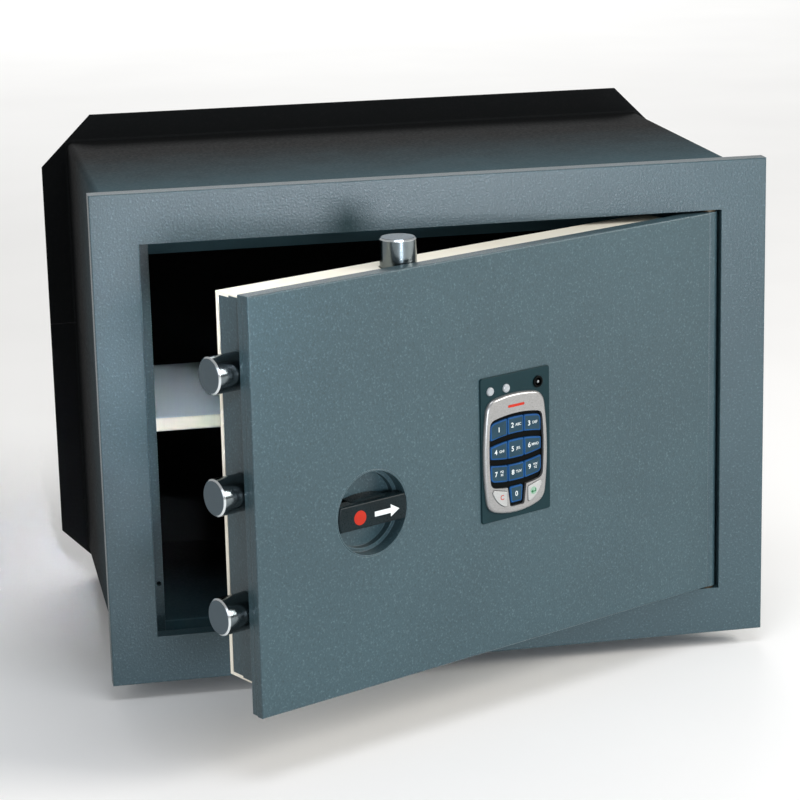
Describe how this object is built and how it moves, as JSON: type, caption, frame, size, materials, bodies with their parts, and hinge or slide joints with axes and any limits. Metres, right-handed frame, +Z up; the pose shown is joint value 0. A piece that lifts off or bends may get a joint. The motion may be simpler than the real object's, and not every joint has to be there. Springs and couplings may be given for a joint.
{
  "type": "wall safe",
  "caption": "Steel wall safe with a hinged door, round sliding bolts driven by a recessed knob, an electronic keypad, an inner shelf and a rear anchoring flange.",
  "frame": {"origin": "centre of the frame's rear face, in the plane of the finished wall", "axes": "+X to the right seen from the room, +Y into the wall, +Z up"},
  "size_m": [0.4408, 0.4179, 0.3288],
  "materials": {
    "grey_paint": "fine textured powder coat",
    "cream_paint": "satin",
    "bright_bolt": "polished",
    "plain_steel": "machined",
    "bronze": "machined",
    "lock_alloy": "die cast",
    "black_plastic": "moulded",
    "slate_plastic": "satin",
    "silver_plastic": "metallic paint",
    "clear_lens": "gloss",
    "green_board": "lacquered",
    "battery_wrap": "film"
  },
  "bodies": {
    "safe_body": {"frame_top_bar": "grey_paint", "frame_bottom_bar": "grey_paint", "frame_left_stile": "grey_paint", "frame_right_stile": "grey_paint", "upper_body_shell": "grey_paint", "lower_body_shell": "grey_paint", "rear_wall": "grey_paint", "stop_strips_side": "grey_paint", "stop_strips_level": "grey_paint", "shelf": "grey_paint", "shelf_ledges": "grey_paint", "hinge_pins": "plain_steel", "hinge_washers": "bronze"},
    "door": {"door_front_plate": "grey_paint", "door_backing_plate": "grey_paint", "hinge_post": "grey_paint", "hinge_bushes": "bronze", "dog_bar": "grey_paint", "bolt_box": "grey_paint", "bolt_sleeves": "black_plastic", "rear_cover": "cream_paint", "cover_screws": "plain_steel", "hard_plate": "plain_steel", "guides_and_posts": "plain_steel", "knob_cup": "grey_paint", "lock_case": "lock_alloy", "lock_motor": "plain_steel", "battery_tray": "black_plastic", "batteries": "battery_wrap", "keypad_panel": "slate_plastic", "keypad_bezel": "silver_plastic", "keypad_surround": "black_plastic", "status_lights": "clear_lens", "power_socket": "black_plastic", "circuit_board": "green_board", "wire_loom": "black_plastic"},
    "knob": {"knob_grip": "black_plastic", "knob_spindle": "plain_steel", "pinion": "plain_steel", "spindle_clip": "plain_steel"},
    "side_boltwork": {"side_bolt_upper": "bright_bolt", "side_bolt_middle": "bright_bolt", "side_bolt_lower": "bright_bolt", "bolt_carrier": "plain_steel", "carrier_screws": "plain_steel"},
    "top_boltwork": {"top_bolt": "bright_bolt", "top_rod": "plain_steel"},
    "lock_latch": {"lock_bolt": "lock_alloy"},
    "key_one_body": {"key_one": "slate_plastic"},
    "key_two_body": {"key_two": "slate_plastic"},
    "key_three_body": {"key_three": "slate_plastic"},
    "key_four_body": {"key_four": "slate_plastic"},
    "key_five_body": {"key_five": "slate_plastic"},
    "key_six_body": {"key_six": "slate_plastic"},
    "key_seven_body": {"key_seven": "slate_plastic"},
    "key_eight_body": {"key_eight": "slate_plastic"},
    "key_nine_body": {"key_nine": "slate_plastic"},
    "key_zero_body": {"key_zero": "slate_plastic"},
    "key_clear_body": {"key_clear": "silver_plastic"},
    "key_enter_body": {"key_enter": "silver_plastic"}
  },
  "joints": [
    {"name": "door_swing", "type": "hinge", "parent": "safe_body", "child": "door", "pos_m": [0.174, -0.0045, 0], "axis": [0, 0, 1], "range_deg": [-18.4, 65]},
    {"name": "knob_turn", "type": "hinge", "parent": "door", "child": "knob", "pos_m": [-0.0663, -0.13207, -0.0175], "axis": [-0.4493, 0.8934, 0], "range_deg": [0, 90]},
    {"name": "side_bolts_slide", "type": "slide", "parent": "door", "child": "side_boltwork", "axis": [0.8934, 0.4493, 0], "range_m": [0, 0.01257]},
    {"name": "top_bolt_slide", "type": "slide", "parent": "door", "child": "top_boltwork", "axis": [0, 0, -1], "range_m": [0, 0.01257]},
    {"name": "lock_latch_slide", "type": "slide", "parent": "door", "child": "lock_latch", "axis": [0.8934, 0.4493, 0], "range_m": [0, 0.0063]},
    {"name": "press_one", "type": "slide", "parent": "door", "child": "key_one_body", "axis": [-0.4493, 0.8934, 0], "range_m": [0, 0.001], "stiffness_N_per_m": 400},
    {"name": "press_two", "type": "slide", "parent": "door", "child": "key_two_body", "axis": [-0.4493, 0.8934, 0], "range_m": [0, 0.001], "stiffness_N_per_m": 400},
    {"name": "press_three", "type": "slide", "parent": "door", "child": "key_three_body", "axis": [-0.4493, 0.8934, 0], "range_m": [0, 0.001], "stiffness_N_per_m": 400},
    {"name": "press_four", "type": "slide", "parent": "door", "child": "key_four_body", "axis": [-0.4493, 0.8934, 0], "range_m": [0, 0.001], "stiffness_N_per_m": 400},
    {"name": "press_five", "type": "slide", "parent": "door", "child": "key_five_body", "axis": [-0.4493, 0.8934, 0], "range_m": [0, 0.001], "stiffness_N_per_m": 400},
    {"name": "press_six", "type": "slide", "parent": "door", "child": "key_six_body", "axis": [-0.4493, 0.8934, 0], "range_m": [0, 0.001], "stiffness_N_per_m": 400},
    {"name": "press_seven", "type": "slide", "parent": "door", "child": "key_seven_body", "axis": [-0.4493, 0.8934, 0], "range_m": [0, 0.001], "stiffness_N_per_m": 400},
    {"name": "press_eight", "type": "slide", "parent": "door", "child": "key_eight_body", "axis": [-0.4493, 0.8934, 0], "range_m": [0, 0.001], "stiffness_N_per_m": 400},
    {"name": "press_nine", "type": "slide", "parent": "door", "child": "key_nine_body", "axis": [-0.4493, 0.8934, 0], "range_m": [0, 0.001], "stiffness_N_per_m": 400},
    {"name": "press_zero", "type": "slide", "parent": "door", "child": "key_zero_body", "axis": [-0.4493, 0.8934, 0], "range_m": [0, 0.001], "stiffness_N_per_m": 400},
    {"name": "press_clear", "type": "slide", "parent": "door", "child": "key_clear_body", "axis": [-0.4493, 0.8934, 0], "range_m": [0, 0.001], "stiffness_N_per_m": 400},
    {"name": "press_enter", "type": "slide", "parent": "door", "child": "key_enter_body", "axis": [-0.4493, 0.8934, 0], "range_m": [0, 0.001], "stiffness_N_per_m": 400}
  ],
  "couplings": [
    {"joint": "side_bolts_slide", "follows": "knob_turn", "m_per_rad": 0.008},
    {"joint": "top_bolt_slide", "follows": "knob_turn", "m_per_rad": 0.008},
    {"joint": "lock_latch_slide", "follows": "knob_turn", "m_per_rad": 0.004}
  ]
}
